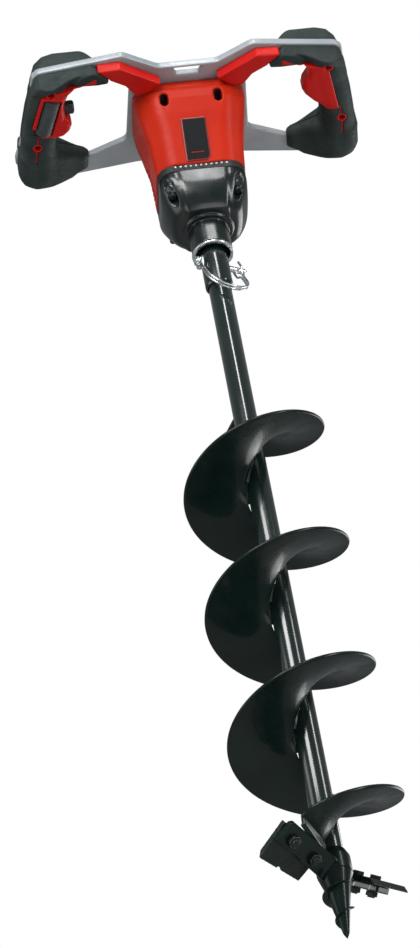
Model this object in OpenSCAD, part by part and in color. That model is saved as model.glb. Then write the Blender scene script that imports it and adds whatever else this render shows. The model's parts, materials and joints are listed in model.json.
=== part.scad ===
// Cordless earth auger: a twin-grip drive head with a pinned drill below it.
// Origin at the point of the centre screw, +Z up the drill axis, +X to the operator's
// right hand as seen from the front, +Y towards the back of the head. Millimetres.

/* [Drill] */
// Length from the point to the mouth of the gear case neck
drill_len = 800; // [760:5:900]
// Outer diameter of the flighting
flight_d = 150; // [130:1:170]
// Rise of the flighting in one turn
flight_pitch = 141.12; // [135:0.5:145]
// Thickness of the flighting
flight_t = 3.6; // [3:0.2:5]
// Outer diameter of the drill tube
tube_d = 23.5; // [22.5:0.5:23.5]
// Slope of the blade holders, leading edge down
blade_slope = 35; // [33:1:36]
// Rise of the blade holders towards their outer ends
blade_rise = 12.3; // [11:0.1:13]

/* [Head] */
// Half width of the gear case
case_hw = 46; // [45:0.5:47]
// Thickness of the frame plate
plate_t = 8; // [6:0.5:9]
// Height of the frame plate above the neck mouth
plate_rise = 188; // [186:1:192]
// Half width of the housing under the plate
house_hw = 60; // [58:1:62]

/* [Gears] */
// Gear module
gear_m = 1.25; // [1.25:0.01:1.25]
// Pressure angle
gear_pa = 25; // [24:0.5:25]
// Teeth on each sun gear
sun_n = 12; // [12:12:12]
// Teeth on each planet gear
planet_n = 18; // [18:18:18]
// Play between meshing flanks
backlash = 0.16; // [0.1:0.01:0.2]

/* [Lock and trigger] */
// Direction of the lock pin, from the operator's right
pin_az = 27; // [20:1:34]
// Angle of the bail below the horizontal
bail_drop = 67; // [60:1:72]
// Turn of the trigger from straight ahead
trigger_az = 14.5; // [12:0.5:16]

/* [Hidden] */
$fn = 48;

fit = 0.05;                            // running clearance on a shaft

// drill
tube_r = tube_d / 2;
flight_r = flight_d / 2;
flight_in = tube_r + 1.6;              // inner edge, held off the tube by weld spots
flight_a0 = 246;                       // direction of the lowest radial edge
flight_z0 = 88;                        // its height
flight_turns = 3.62;
point_z = 50;                          // top of the screw point's cone
hub_r = 16.3;
hub_z = 64;
hub_h = 22.5;
blade_az = 233.7;                      // radial direction of the left blade
blade_z = 64.5;                        // height of the holder's top face on the axis
holder_t = 6;
blade_t = 5;
bolt_r = 3.5;
bolt_x = [35, 66];
bolt_y = -2;                           // bolts, from the holder's centre line
sleeve_r = 14.4;
sleeve_z = drill_len - 47;
pin_z = drill_len - 15;
pin_r = 3.2;
pin_head = 18.5;                       // distance of the pin head's centre from the axis
pin_head_r = 5.2;
bail_r = 1.1;
bail_gap = 6.4;                        // half distance between the two bail wires
bail_w = 22.75;                        // radius of the bail's bow
bail_leg = 26.5;                       // straight leg before the bow

// head heights
z_case = drill_len + 35;
z_case_top = drill_len + 80;
z_house = drill_len + 89;
z_plate = drill_len + plate_rise;
z_top = z_plate + plate_t;
neck_r = 21.5;
spindle_r = 10;
spindle_z = sleeve_z + 13.5;           // lower end of the spindle, in the sleeve
bearing_r = 18.5;
ring_r = 36;
orbit_r = gear_m * (sun_n + planet_n) / 2;
ring_n = sun_n + 2 * planet_n;
shaft_r = 4;
motor_bearing_r = 11;
stator_r = 30;
rotor_r = 15;
screw_xy = 34;                         // gear case screws, from the axis each way

// handles, right side; the left side mirrors them
hand_z = z_plate;                      // middle of the grip's height
trigger_at = [-156, -33, z_plate - 14];
button_at = [-129, -53, z_plate - 8];
button_r = 7.3;
dock_h = 13.95;

// motor heights
z_bear_lo = drill_len + 86;
z_fan = drill_len + 95;
z_stator = drill_len + 105;
z_cap = drill_len + 150.2;
z_bear_hi = drill_len + 158;
z_board = drill_len + 171;

// ---- small helpers -------------------------------------------------------
module ring(ro, ri, h) difference() {
  cylinder(r = ro, h = h);
  translate([0, 0, -1]) cylinder(r = ri, h = h + 2);
}

module hex_nut(af_r, bore, h) difference() {
  cylinder(r = af_r, h = h, $fn = 6);
  translate([0, 0, -1]) cylinder(r = bore, h = h + 2);
}

module mirror_x() {
  children();
  mirror([1, 0, 0]) children();
}

// rounded rectangle block, half width hx, from y0 to y1
module slab(hx, y0, y1, r, z, h = 0.2) translate([0, 0, z])
  for (x = [-hx + r, hx - r], y = [y0 + r, y1 - r]) translate([x, y, 0]) cylinder(r = r, h = h, $fn = 32);

// ---- gears ---------------------------------------------------------------
function inv(a) = tan(a) * 180 / PI - a;
function flank_a(r, rb) = r <= rb ? 0 : inv(acos(rb / r));
// outline of one gear: add and ded are the tip and root heights, thin is the flank's retreat
function gear_pts(n, add, ded, thin) =
  let (rp = gear_m * n / 2, rb = rp * cos(gear_pa), ra = rp + add, rr = rp - ded,
       half = 90 / n - thin * 90 / (PI * rp) + inv(gear_pa),
       rs = [for (i = [0:4]) max(rr, rb) + (ra - max(rr, rb)) * i / 4])
  [for (k = [0:n - 1]) let (c = 360 * k / n) each concat(
      [[rr, c - half]], [for (r = rs) [r, c - half + flank_a(r, rb)]],
      [for (i = [4:-1:0]) [rs[i], c + half - flank_a(rs[i], rb)]], [[rr, c + half]])];
function polar(p) = [for (q = p) [q[0] * cos(q[1]), q[0] * sin(q[1])]];

module spur(n, h, phase = 0) rotate([0, 0, phase]) linear_extrude(height = h)
  polygon(polar(gear_pts(n, 0.9 * gear_m, 1.15 * gear_m, backlash / 2)));

module planet(z, h, bore, a) translate([orbit_r * cos(a), orbit_r * sin(a), z]) difference() {
  spur(planet_n, h, 180 / planet_n);
  translate([0, 0, -1]) cylinder(r = bore, h = h + 2);
}

// ---- drill ---------------------------------------------------------------
function helix_ring(a, z, ri, ro, t) = [
  [ri * cos(a), ri * sin(a), z], [ro * cos(a), ro * sin(a), z],
  [ro * cos(a), ro * sin(a), z + t], [ri * cos(a), ri * sin(a), z + t]];

// a blade that climbs round the axis; sizes at step i of n come from the rings list
module ribbon(rings) {
  n = len(rings);
  pts = [for (q = rings) each q];
  sides = [for (i = [0:n - 2], j = [0:3])
    let (a = 4 * i + j, b = 4 * i + (j + 1) % 4) each [[a, a + 4, b], [b, a + 4, b + 4]]];
  polyhedron(pts, concat([[0, 1, 2], [0, 2, 3]], sides,
    [[4 * n - 4, 4 * n - 2, 4 * n - 3], [4 * n - 4, 4 * n - 1, 4 * n - 2]]));
}

module screw_point() color("#1f2f2c")
  rotate_extrude() polygon([[0, 0], [3, 6], [11.8, point_z], [hub_r, hub_z], [0, hub_z]]);

// small spiral welded round the point's cone
module screw_spiral() color("#1f2f2c") {
  steps = 72;
  ribbon([for (i = [0:steps]) let (u = i / steps)
    helix_ring(360 * 2 * u, 5 + 49 * u, 1.8 + 8.5 * u, 4.2 + 14.6 * u, 1.6)]);
}

module drill_hub() color("#1f2f2c") translate([0, 0, hub_z]) rotate_extrude()
  polygon([[tube_r + fit, 0.05], [hub_r, 0.05], [hub_r, hub_h - 7], [hub_r - 3.3, hub_h],
           [tube_r + fit, hub_h]]);

module auger_tube() color("#1f2f2c") translate([0, 0, hub_z + 0.1])
  ring(tube_r, tube_r - 2.3, sleeve_z + 12 - hub_z);

module flighting() color("#22322f") {
  steps = 150;
  ribbon([for (i = [0:steps]) let (u = flight_turns * i / steps)
    helix_ring(flight_a0 + 360 * u, flight_z0 + flight_pitch * u, flight_in, flight_r, flight_t)]);
}

// short weld spots between the tube and the flighting's inner edge
module flight_welds() color("#2b3a37") for (i = [0:10]) {
  u = 0.15 + i * 0.335;
  rotate([0, 0, flight_a0 + 360 * u]) translate([0, 0, flight_z0 + flight_pitch * u + flight_t / 2])
    translate([tube_r + 0.9, 0, 0]) rotate([90 - atan(flight_pitch / (2 * PI * tube_r)), 0, 0])
      translate([0, 0, -4]) cylinder(r = 2.2, h = 8);
}

// places a piece on the left (0) or right (1) blade holder: x outward, z off the holder's face
module on_holder(side) translate([0, 0, blade_z]) rotate([0, 0, blade_az + 180 * side])
  rotate([0, -blade_rise, 0]) rotate([blade_slope, 0, 0]) children();

module blade_holder(side) color("#1f2f2c") difference() {
  union() {
    on_holder(side) difference() {
      translate([0, 0, -holder_t]) linear_extrude(height = holder_t)
        polygon([[4, -11], [44, -11], [46, -10], [58, -10], [60, -11], [80, -11], [80, 8], [77, 11],
                 [4, 11]]);
      for (x = bolt_x) translate([x, bolt_y, -holder_t - 1])
        cylinder(r = bolt_r + fit, h = holder_t + 2);
    }
    // upright web that carries the lowest edge of the flighting
    if (side == 0) rotate([0, 0, flight_a0 + 1.5]) rotate([90, 0, 0])
      linear_extrude(height = 4, center = true)
        polygon([[12, 73], [70, 81], [70, flight_z0 + 0.4], [12, flight_z0 + 0.4]]);
  }
  translate([0, 0, 20]) cylinder(r = hub_r + fit, h = hub_z + hub_h - 19.9);
  cylinder(r = tube_r + fit, h = 200);
}
module blade_holder_left() blade_holder(0);
module blade_holder_right() blade_holder(1);

module cutter_blade(side) color("#262f2e") on_holder(side) difference() {
  translate([0, 0, 0.02]) linear_extrude(height = blade_t)
    polygon([[27, -25.5], [51, -28.7], [52.5, -26.6], [55, -27], [56, -29.4], [78, -32.3], [81.5, 6],
             [27, 6]]);
  for (x = bolt_x) translate([x, bolt_y, -1]) cylinder(r = bolt_r + fit, h = blade_t + 3);
  // ground face above the cutting edge
  translate([27, -25.5, 0]) rotate([0, 0, -7.6]) rotate([-50, 0, 0]) translate([-8, -20, -1.5])
    cube([75, 20, 12]);
}
module cutter_blade_left() cutter_blade(0);
module cutter_blade_right() cutter_blade(1);

module cutter_bolts() color("#39403f")
  for (side = [0, 1], x = bolt_x) on_holder(side) translate([x, bolt_y, 0]) {
    translate([0, 0, -holder_t - 6]) cylinder(r = bolt_r, h = holder_t + 6 + blade_t + 0.1);
    translate([0, 0, blade_t + 0.05]) cylinder(r = 5.8, h = 3.6, $fn = 6);
  }

module cutter_nuts() color("#39403f") for (side = [0, 1], x = bolt_x) on_holder(side)
  translate([x, bolt_y, -holder_t - 4.6]) hex_nut(6.2, bolt_r + fit, 4.5);

module drive_sleeve() color("#1f2f2c") difference() {
  translate([0, 0, sleeve_z]) rotate_extrude() polygon([
    [tube_r + fit, 0], [sleeve_r - 1.5, 0], [sleeve_r, 2], [sleeve_r, 53],
    [spindle_r + fit, 53], [spindle_r + fit, 13], [tube_r + fit, 12.2]]);
  translate([0, 0, pin_z]) rotate([0, 90, pin_az]) translate([0, 0, -30]) cylinder(r = pin_r + fit, h = 60);
}

// lock pin along local x; its head is on the -x side with a cross hole for the bail
module lock_pin() color("#c9ced2") translate([0, 0, pin_z]) rotate([0, 0, pin_az]) difference() {
  rotate([0, 90, 0]) union() {
    translate([0, 0, -pin_head + 1]) cylinder(r = pin_r, h = pin_head + 33);
    translate([0, 0, 33.9]) cylinder(r1 = pin_r, r2 = 2.2, h = 2);
    translate([0, 0, -pin_head - 3.5]) cylinder(r = pin_head_r, h = 6.5);
    translate([0, 0, -pin_head - 4.5]) cylinder(r1 = pin_head_r - 1.2, r2 = pin_head_r, h = 1.01);
  }
  rotate([180 + bail_drop, 0, 0]) translate([-pin_head, 0, -10]) cylinder(r = bail_r + fit, h = 20);
}

// spring wire bail: an axle through the pin's head and two legs that bow round the drill
module pin_bail() color("#c9ced2") translate([0, 0, pin_z]) rotate([0, 0, pin_az])
  rotate([180 + bail_drop, 0, 0]) translate([-pin_head, 0, 0]) {
    translate([0, 0, -bail_gap]) cylinder(r = bail_r, h = 2 * bail_gap, $fn = 24);
    for (s = [-1, 1]) translate([0, 0, s * bail_gap]) {
      sphere(r = bail_r, $fn = 24);
      rotate([-90, 0, 0]) cylinder(r = bail_r, h = bail_leg, $fn = 24);
      translate([bail_w, bail_leg, 0]) rotate_extrude(angle = 180, $fn = 72)
        translate([bail_w, 0]) circle(r = bail_r, $fn = 24);
      translate([2 * bail_w, bail_leg, 0]) rotate([90, 0, 0])
        cylinder(r = bail_r, h = bail_leg + 7, $fn = 24);
      translate([2 * bail_w, -7, 0]) sphere(r = bail_r, $fn = 24);
    }
  }

// ---- gearbox -------------------------------------------------------------
c2_z = z_case + 5;                     // second carrier's disc
c1_z = z_case + 24.5;                  // first carrier's disc

module output_spindle() color("#8f979c") difference() {
  union() {
    translate([0, 0, spindle_z]) cylinder(r = spindle_r, h = c2_z - spindle_z + 1);
    translate([0, 0, c2_z - 4.8]) cylinder(r = 13, h = 5);
    translate([0, 0, c2_z]) cylinder(r = 30, h = 4);
    for (a = [0, 120, 240]) rotate([0, 0, a]) translate([orbit_r, 0, c2_z + 3]) cylinder(r = 3, h = 15);
  }
  translate([0, 0, pin_z]) rotate([0, 90, pin_az]) translate([0, 0, -30]) cylinder(r = pin_r + fit, h = 60);
}
module planet_2a() color("#9aa2a6") planet(c2_z + 5, 12, 3 + fit, 0);
module planet_2b() color("#9aa2a6") planet(c2_z + 5, 12, 3 + fit, 120);
module planet_2c() color("#9aa2a6") planet(c2_z + 5, 12, 3 + fit, 240);

module carrier_1() color("#8f979c") {
  translate([0, 0, c1_z]) cylinder(r = 27, h = 3.5);
  translate([0, 0, c2_z + 4.8]) spur(sun_n, c1_z - c2_z - 4.7);
  for (a = [0, 120, 240]) rotate([0, 0, a]) translate([orbit_r, 0, c1_z + 3]) cylinder(r = 2.5, h = 15);
}
module planet_1a() color("#9aa2a6") planet(c1_z + 4.5, 12, 2.5 + fit, 0);
module planet_1b() color("#9aa2a6") planet(c1_z + 4.5, 12, 2.5 + fit, 120);
module planet_1c() color("#9aa2a6") planet(c1_z + 4.5, 12, 2.5 + fit, 240);

module ring_gear() color("#7d8589") translate([0, 0, z_case + 11.2])
  linear_extrude(height = 33.4) difference() {
    circle(r = ring_r, $fn = 96);
    rotate(180 / ring_n)
      polygon(polar(gear_pts(ring_n, 1.15 * gear_m, 0.9 * gear_m, -backlash / 2)));
  }

module motor_shaft() color("#a5acb0") {
  translate([0, 0, c1_z + 4.5]) spur(sun_n, 13);
  translate([0, 0, c1_z + 17]) cylinder(r = shaft_r, h = z_bear_hi + 10 - c1_z - 17);
}

module shaft_bearing(z, ro, ri, h) color("#b4bbbf") translate([0, 0, z]) rotate_extrude()
  polygon([[ri, 0], [ri + 1.8, 0], [ri + 1.8, 0.7], [ro - 1.8, 0.7], [ro - 1.8, 0], [ro - 0.02, 0],
           [ro - 0.02, h], [ro - 1.8, h], [ro - 1.8, h - 0.7], [ri + 1.8, h - 0.7], [ri + 1.8, h], [ri, h]]);
module output_bearing_lower() shaft_bearing(drill_len + 12, bearing_r, spindle_r + fit, 9);
module output_bearing_upper() shaft_bearing(drill_len + 21.2, bearing_r, spindle_r + fit, 9);
module motor_bearing_lower() shaft_bearing(z_bear_lo, motor_bearing_r, shaft_r + fit, 7);
module motor_bearing_upper() shaft_bearing(z_bear_hi, motor_bearing_r, shaft_r + fit, 7);

module shaft_seal() color("#2a2a2a") translate([0, 0, drill_len + 7.5])
  ring(bearing_r - 0.02, spindle_r + fit, 4);
module neck_ring() color("#cfd4d8") translate([0, 0, drill_len - 1]) ring(neck_r + 0.6, 17.8, 2.9);

module screw_posts() for (x = [-screw_xy, screw_xy], y = [-screw_xy, screw_xy])
  translate([x, y, 0]) children();

// full outline of the gear case, as a layer of height h
module case_layer(z, h = 0.2) slab(case_hw, -case_hw + 1.5, case_hw - 1.5, 18, z, h);

module gear_case() color("#1d2b29") difference() {
  union() {
    hull() {
      slab(30.5, -30.5, 30.5, 28, z_case);
      slab(40, -39.5, 39.5, 27, z_case + 11);
    }
    hull() {
      slab(40, -39.5, 39.5, 27, z_case + 11);
      slab(44.5, -43, 43, 23, z_case + 23);
    }
    hull() {
      slab(44.5, -43, 43, 23, z_case + 23);
      case_layer(z_case + 35);
    }
    hull() {
      case_layer(z_case + 35);
      case_layer(z_case_top - 0.2);
    }
    translate([0, 0, drill_len + 2]) cylinder(r = neck_r, h = z_case - drill_len);
  }
  translate([0, 0, drill_len]) cylinder(r = bearing_r, h = 30.4);
  translate([0, 0, drill_len + 30]) cylinder(r = 14, h = 10);
  translate([0, 0, z_case + 4]) cylinder(r = 31.6, h = 12);
  translate([0, 0, z_case + 11]) cylinder(r = ring_r + fit, h = 40);
  screw_posts() {
    translate([0, 0, z_case - 5]) cylinder(r = 5.6, h = 27);
    cylinder(r = 2.5, h = z_house);
  }
}

module gear_case_screws() color("#b9bfc3") screw_posts() {
  translate([0, 0, z_case + 21]) cylinder(r = 2.4, h = 44);
  translate([0, 0, z_case + 18]) difference() {
    cylinder(r = 4.5, h = 3.9);
    translate([0, 0, -1]) cylinder(r = 2.4, h = 3, $fn = 6);
  }
}

module collar_ring() color("#232323") difference() {
  hull() case_layer(z_case_top + 0.05, 8.8);
  translate([0, 0, z_case_top - 1]) cylinder(r = 38, h = 12);
  screw_posts() cylinder(r = 2.5, h = z_house + 2);
}

module gearbox_end_plate() color("#a9b0b4") difference() {
  union() {
    translate([0, 0, z_case_top + 0.1]) cylinder(r = 37.9, h = 5);
    translate([0, 0, z_case_top + 4]) cylinder(r = 15, h = 9.5);
  }
  translate([0, 0, z_case_top]) cylinder(r = 9.2, h = 20);
  translate([0, 0, z_bear_lo - 0.02]) cylinder(r = motor_bearing_r, h = 10);
}

// ---- motor ---------------------------------------------------------------
module stator() color("#6b6258") translate([0, 0, z_stator]) {
  ring(stator_r, 24, 45);
  for (k = [0:5]) rotate([0, 0, 60 * k]) difference() {
    translate([rotor_r + 0.8, -4, 2]) cube([10, 8, 41]);
    translate([0, 0, 1]) cylinder(r = rotor_r + 0.7, h = 44);
  }
}
module rotor() color("#8a8f93") translate([0, 0, z_stator + 3]) ring(rotor_r, shaft_r + 0.02, 39);
module cooling_fan() color("#3a3a3a") translate([0, 0, z_fan]) {
  ring(8, shaft_r + 0.02, 8);
  ring(26, 7, 1.5);
  for (k = [0:10]) rotate([0, 0, k * 360 / 11]) translate([9, 0, 1]) rotate([0, 0, 20]) cube([15, 1.6, 6]);
}
module motor_cap() color("#a9b0b4") translate([0, 0, z_cap]) difference() {
  union() {
    cylinder(r = stator_r, h = 4);
    cylinder(r = 14, h = 15.5);
  }
  translate([0, 0, -1]) cylinder(r = 9, h = 20);
  translate([0, 0, 7.78]) cylinder(r = motor_bearing_r, h = 9);
}

// ---- housing -------------------------------------------------------------
module house_form(inset) {
  hull() {
    slab(case_hw - inset, -44.5 + inset, 44 - inset, 20 - inset, z_house);
    slab(house_hw - 3 - inset, -69 + inset, 48 - inset, 24 - inset, z_house + 71);
  }
  hull() {
    slab(house_hw - 3 - inset, -69 + inset, 48 - inset, 24 - inset, z_house + 71);
    slab(house_hw - inset, -70 + inset, 49 - inset, 24 - inset, z_plate - 0.25, inset > 0 ? 1 : 0.2);
  }
}

boss_at = [28.5, z_house + 73];        // housing screws, each side

module across(y0, y1, r) for (x = [-boss_at[0], boss_at[0]]) translate([x, y0, boss_at[1]])
  rotate([-90, 0, 0]) cylinder(r = r, h = y1 - y0);

// half of the housing: hollow, with two ribs round the stator and bosses for the screws
module house_shell(side) difference() {
  union() {
    difference() {
      house_form(0);
      house_form(3);
      translate([0, 0, z_house - 1]) cylinder(r = 39, h = 2);
    }
    intersection() {
      house_form(0);
      union() {
        translate([-80, -80, z_house + 19]) cube([160, 160, 3]);
        translate([-80, -80, z_house + 52]) cube([160, 160, 3]);
        screw_posts() translate([0, 0, z_house]) cylinder(r = 6, h = 20);
        across(-90, 60, 6.5);
      }
    }
  }
  translate([0, 0, z_house - 1]) cylinder(r = stator_r + fit, h = 66.5);
  screw_posts() translate([0, 0, z_house - 1]) cylinder(r = 2.5, h = 19);
  across(-90, 29, 2.1);
  across(-90, -25, 5);
  translate([-100, side < 0 ? -0.05 : -199.95, z_house - 40]) cube([200, 200, 200]);
}

module motor_housing_front() color("#d8402a") house_shell(-1);

module motor_housing_rear() color("#c93a26") house_shell(1);

module housing_screws() color("#4a4f52") for (x = [-boss_at[0], boss_at[0]])
  translate([x, 0, boss_at[1]]) rotate([90, 0, 0]) {
  translate([0, 0, -28]) cylinder(r = 2, h = 53.2);
  translate([0, 0, 25.1]) difference() {
    cylinder(r = 4, h = 4);
    translate([0, 0, 2]) cylinder(r = 2, h = 3, $fn = 6);
  }
}

// plate on the sloping front face
module label_plate() color("#151515") translate([-1.5, -44.9, z_house + 1]) rotate([19.2, 0, 0])
  translate([0, 0, 1]) rotate([90, 0, 0]) linear_extrude(height = 1)
    polygon([[-13, 0], [9, 0], [13.2, 5], [13.2, 49.5], [-13, 49.5]]);

module controller_board() {
  color("#2f6b3a") translate([-36, -40, z_board]) cube([72, 66, 1.8]);
  color("#333333") for (x = [-30, 30], y = [-34, 20]) translate([x, y, z_board + 1])
    cylinder(r = 3, h = 15.9);
  color("#444444") for (x = [-18, 0, 18]) translate([x, -18, z_board + 1]) cylinder(r = 5, h = 10);
  color("#222222") translate([-20, 2, z_board + 1]) cube([40, 12, 4]);
}

// ---- frame plate ---------------------------------------------------------
module plate_half() difference() {
  polygon([[-0.01, -89], [31, -89], [68, -111], [158, -98], [164, -92], [173.8, -30], [186, 24], [187, 33],
           [176, 50], [150, 60], [120, 58], [55, 49], [-0.01, 49]]);
  polygon([[62, -62], [67, -79], [80, -90], [104, -89], [128, -85], [148, -74], [156, -40], [158, 0],
           [153, 28], [140, 38], [111, 34], [66, 13]]);
}

module frame_plate() color("#c3c8cb") translate([0, 0, z_plate]) difference() {
  linear_extrude(height = plate_t) difference() {
    mirror_x() plate_half();
    polygon([[-17, -86], [17, -86], [12, -76], [-12, -76]]);
  }
  translate([-11, 8, -1]) cube([22, 14, plate_t + 2]);
  mirror_x() for (p = handle_screw_at) translate([p[0], p[1], -1]) cylinder(r = 2.6, h = plate_t + 2);
}

// ---- handles -------------------------------------------------------------
handle_screw_at = [[146.5, -85.5], [163.7, -9]];
arm_pts = [[30, -78], [72, -105], [99, -103.4], [99, -90], [84, -90], [67, -79], [57, -64], [44, -66]];
// outline of the red guard: front, outer side, then one of two inner contours
lobe_out = [[98, -90], [98, -103], [146, -96], [157, -86], [166, -60], [171.5, -20], [174, 20], [161, 22],
            [152, -15]];
lobe_right = [[147, -24], [133, -35], [122.5, -47], [119.5, -54], [120.5, -63], [126, -73], [127, -83],
              [121, -88.5]];
lobe_left = [[144, -18], [133, -22.5], [127.5, -29], [125.5, -36], [127, -43], [133, -46], [133, -70],
             [128.5, -79.5], [121, -88]];

module handle_core(inner) difference() {
  translate([0, 0, z_plate - 13]) linear_extrude(height = 12.95) union() {
    difference() {
      polygon(arm_pts);
      house_plan();
    }
    polygon(concat(lobe_out, inner));
  }
  for (p = handle_screw_at) translate([p[0], p[1], 0]) cylinder(r = 2.5, h = 2000);
}
// footprint of the housing where the arms meet it
module house_plan() {
  h = house_hw + 0.1;
  translate([-h, -46]) square([2 * h, 95]);
  translate([-h + 24, -70.1]) square([2 * h - 48, 100]);
  for (x = [-h + 24, h - 24]) translate([x, -46]) circle(r = 24.1);
}

module on_trigger() translate(trigger_at) rotate([0, 0, trigger_az]) children();

module trigger_space() on_trigger() {
  translate([-9.7, -47, -30]) cube([19.4, 54, 39]);
  rotate([0, 90, 0]) translate([0, 0, -14.1]) cylinder(r = 2 + fit, h = 28.2);
}
module switch_space() translate([-167.2, -26.2, z_plate - 13.4]) cube([15.4, 11.4, 13.6]);
module button_space() translate(button_at) rotate([0, -90, 0])
  translate([0, 0, -10]) cylinder(r = button_r + 0.15, h = 20);

module handle_core_left() color("#cf2b26") difference() {
  union() {
    mirror([1, 0, 0]) handle_core(lobe_left);
    intersection() {
      on_trigger() translate([-14, -51, -6]) cube([28, 61, 18]);
      mirror([1, 0, 0]) translate([0, 0, z_plate - 22]) linear_extrude(height = 21.95)
        polygon(concat(lobe_out, lobe_left));
    }
  }
  trigger_space();
  switch_space();
  button_space();
  mirror([1, 0, 0]) for (p = handle_screw_at) translate([p[0], p[1], z_plate - 40]) {
    cylinder(r = 2.5, h = 50);
    cylinder(r = 4.4, h = 27);
  }
}
module handle_core_right() color("#cf2b26") handle_core(lobe_right);

module pod(p) translate([p[0], p[1], hand_z + p[4]]) scale([1, 1, p[3] / p[2]])
  sphere(r = p[2], $fn = 20);

// the grip's stations, front to rear: x, y, half width, half height, lift
grip_at = [[108, -91, 12, 22, 9], [145, -84, 16, 30, 4], [155.5, -42, 18, 22, 0],
           [162.2, 4.6, 18.4, 21.8, 0.3], [164.5, 39, 19.5, 21, 0], [121, 38, 13, 12, 2]];
module grip_form() for (i = [0:4]) hull() {
  pod(grip_at[i]);
  pod(grip_at[i + 1]);
}
module plate_cut() translate([0, 0, z_plate - 0.05]) linear_extrude(height = plate_t + 0.1) plate_half();
split_z = z_plate + plate_t / 2;

module grip_lower(inner) difference() {
  grip_form();
  translate([80, -150, split_z]) cube([140, 260, 60]);
  plate_cut();
  translate([0, 0, z_plate - 13.05]) linear_extrude(height = 13.1) {
    polygon(arm_pts);
    polygon(concat(lobe_out, inner));
  }
  translate([100, -70, z_plate - 40]) cube([43, 60, 80]);
  for (p = handle_screw_at) translate([p[0], p[1], z_plate - 60]) cylinder(r = 4.4, h = 60);
}
module grip_upper() difference() {
  grip_form();
  translate([80, -150, split_z - 60]) cube([140, 260, 60.05]);
  plate_cut();
  for (p = handle_screw_at) translate([p[0], p[1], z_plate]) cylinder(r = 2.5, h = plate_t + 8);
}

module grip_left_lower() color("#3c4444") difference() {
  mirror([1, 0, 0]) grip_lower(lobe_left);
  on_trigger() translate([-14.1, -51.1, -30]) cube([28.2, 61.2, 42]);
  switch_space();
  button_space();
}
module grip_right_lower() color("#3c4444") grip_lower(lobe_right);
module grip_left_upper() color("#3c4444") mirror([1, 0, 0]) grip_upper();
module grip_right_upper() color("#3c4444") grip_upper();

module handle_screws() color("#4a4f52")
  mirror_x() for (p = handle_screw_at) translate([p[0], p[1], z_plate - 13]) {
    translate([0, 0, -0.5]) cylinder(r = 2.3, h = 27.5);
    translate([0, 0, -4.1]) difference() {
      cylinder(r = 4, h = 4);
      translate([0, 0, -1]) cylinder(r = 2, h = 3, $fn = 6);
    }
  }

module trigger() color("#474e4e") on_trigger() difference() {
  union() {
    translate([-9, -45, -12]) cube([18, 45, 11]);
    rotate([0, 90, 0]) translate([0, 0, -9]) cylinder(r = 5, h = 18);
    translate([-3, 0, -4]) cube([6, 6, 5]);
  }
  rotate([0, 90, 0]) translate([0, 0, -15]) cylinder(r = 2 + fit, h = 30);
  translate([-20, -48, -14]) rotate([-25, 0, 0]) cube([40, 8, 8]);
  translate([0, -26, -6]) cylinder(r = 3.4, h = 8);
}
module trigger_pin() color("#b9bfc3") on_trigger() rotate([0, 90, 0]) translate([0, 0, -14])
  cylinder(r = 2, h = 28);

spring_turns = 5;
module trigger_spring() color("#c9ced2") on_trigger() translate([0, -26, 0]) {
  steps = 80;
  ribbon([for (i = [0:steps]) let (u = i / steps)
    helix_ring(360 * spring_turns * u, -5.8 + 13.6 * u, 1.9, 2.9, 1)]);
}
module trigger_switch() color("#202020") translate([-167, -26, z_plate - 13]) cube([15, 11, 12.8]);
module lock_button() color("#1c1c1c") translate(button_at) rotate([0, -90, 0]) {
  translate([0, 0, -6]) cylinder(r = button_r, h = 11);
  translate([0, 0, -7]) cylinder(r1 = button_r - 1, r2 = button_r, h = 1.01);
}

// ---- battery dock --------------------------------------------------------
module battery_dock() color("#2a2e2e") translate([0, 0, z_top + 0.05]) difference() {
  union() {
    translate([-38, -52, 0]) cube([76, 98, 3]);
    translate([-26, -48, 0]) cube([52, 90, dock_h]);
    translate([-32, -48, dock_h - 4.95]) cube([64, 90, 4.95]);
    translate([-38, 38, 0]) cube([76, 8, dock_h]);
  }
  translate([-18, -6, 6]) cube([36, 30, 10]);
}
module battery_terminals() color("#c9a24b") for (x = [-12, -4, 4, 12])
  translate([x - 0.5, -2, z_top + 6.1]) cube([1, 20, 6]);

screw_point();
screw_spiral();
drill_hub();
auger_tube();
flighting();
flight_welds();
blade_holder_left();
blade_holder_right();
cutter_blade_left();
cutter_blade_right();
cutter_bolts();
cutter_nuts();
drive_sleeve();
lock_pin();
pin_bail();
output_spindle();
planet_2a();
planet_2b();
planet_2c();
carrier_1();
planet_1a();
planet_1b();
planet_1c();
ring_gear();
motor_shaft();
rotor();
cooling_fan();
stator();
motor_cap();
motor_bearing_lower();
motor_bearing_upper();
output_bearing_lower();
output_bearing_upper();
shaft_seal();
neck_ring();
gear_case();
gear_case_screws();
collar_ring();
gearbox_end_plate();
motor_housing_front();
motor_housing_rear();
housing_screws();
label_plate();
controller_board();
frame_plate();
handle_core_left();
handle_core_right();
grip_left_lower();
grip_left_upper();
grip_right_lower();
grip_right_upper();
handle_screws();
trigger();
trigger_pin();
trigger_spring();
trigger_switch();
lock_button();
battery_dock();
battery_terminals();
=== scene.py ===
import json
from math import acos, cos, pi, radians, sin, sqrt, tan

import bmesh
import bpy
import numpy as np
from numpy import hypot, maximum, minimum
from mathutils import Matrix, Vector


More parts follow.
